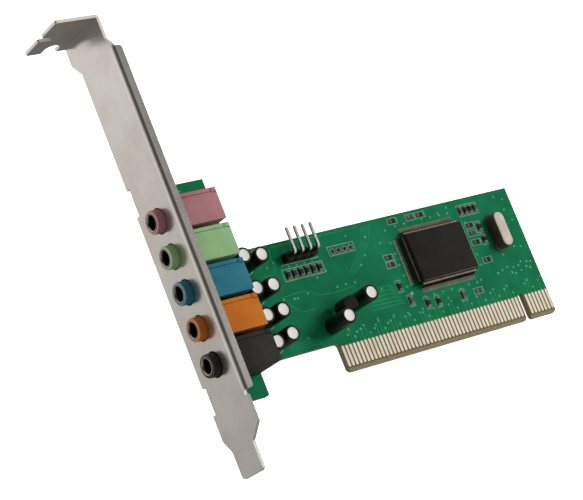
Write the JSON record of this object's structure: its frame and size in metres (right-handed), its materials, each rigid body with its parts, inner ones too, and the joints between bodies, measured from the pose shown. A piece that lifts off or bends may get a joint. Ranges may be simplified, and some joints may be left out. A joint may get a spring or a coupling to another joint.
{
  "type": "pci sound card",
  "caption": "Low-cost PCI sound card: green board with edge contacts, a folded slot bracket and a column of coloured audio jacks.",
  "frame": {"origin": "middle of the key notch at the edge of the connector tongue, halfway through the board's thickness", "axes": "+X along the board away from the bracket, +Y up the bracket away from the connector edge, +Z out of the component side"},
  "size_m": [0.1272, 0.12, 0.0204],
  "materials": {
    "bracket_steel": "zinc plated, satin",
    "screw_steel": "plated",
    "board": "green solder mask, semi-gloss",
    "contact_gold": "gold plated",
    "jack_black": "moulded",
    "jack_orange": "moulded",
    "jack_blue": "moulded",
    "jack_green": "moulded",
    "jack_pink": "moulded",
    "nickel": "nickel plated",
    "spring_bronze": "plated spring strip",
    "capacitor_sleeve": "shrink sleeve with pale aluminium top",
    "header_plastic": "moulded",
    "pin_metal": "tin plated",
    "chip_plastic": "moulded, fine matte",
    "lead_metal": "tin plated",
    "crystal_metal": "nickel plated",
    "ceramic": "ceramic",
    "solder": "solder"
  },
  "bodies": {
    "root": {"bracket": "bracket_steel", "bracket_screws": "screw_steel", "circuit_board": "board", "edge_contacts_front": "contact_gold", "edge_contacts_back": "contact_gold", "black_jack_housing": "jack_black", "black_jack_sleeve": "nickel", "black_jack_springs": "spring_bronze", "orange_jack_housing": "jack_orange", "orange_jack_sleeve": "nickel", "orange_jack_springs": "spring_bronze", "blue_jack_housing": "jack_blue", "blue_jack_sleeve": "nickel", "blue_jack_springs": "spring_bronze", "green_jack_housing": "jack_green", "green_jack_sleeve": "nickel", "green_jack_springs": "spring_bronze", "pink_jack_housing": "jack_pink", "pink_jack_sleeve": "nickel", "pink_jack_springs": "spring_bronze", "capacitor_01": "capacitor_sleeve", "capacitor_02": "capacitor_sleeve", "capacitor_03": "capacitor_sleeve", "capacitor_04": "capacitor_sleeve", "capacitor_05": "capacitor_sleeve", "capacitor_06": "capacitor_sleeve", "capacitor_07": "capacitor_sleeve", "capacitor_08": "capacitor_sleeve", "capacitor_09": "capacitor_sleeve", "capacitor_10": "capacitor_sleeve", "header_pins": "pin_metal", "header_base": "header_plastic", "controller_chip": "chip_plastic", "controller_leads": "lead_metal", "crystal_base": "crystal_metal", "crystal_can": "crystal_metal", "regulator": "chip_plastic", "regulator_leads": "pin_metal", "chip_parts": "ceramic", "chip_part_solder": "solder", "solder_joints": "solder"}
  },
  "joints": []
}
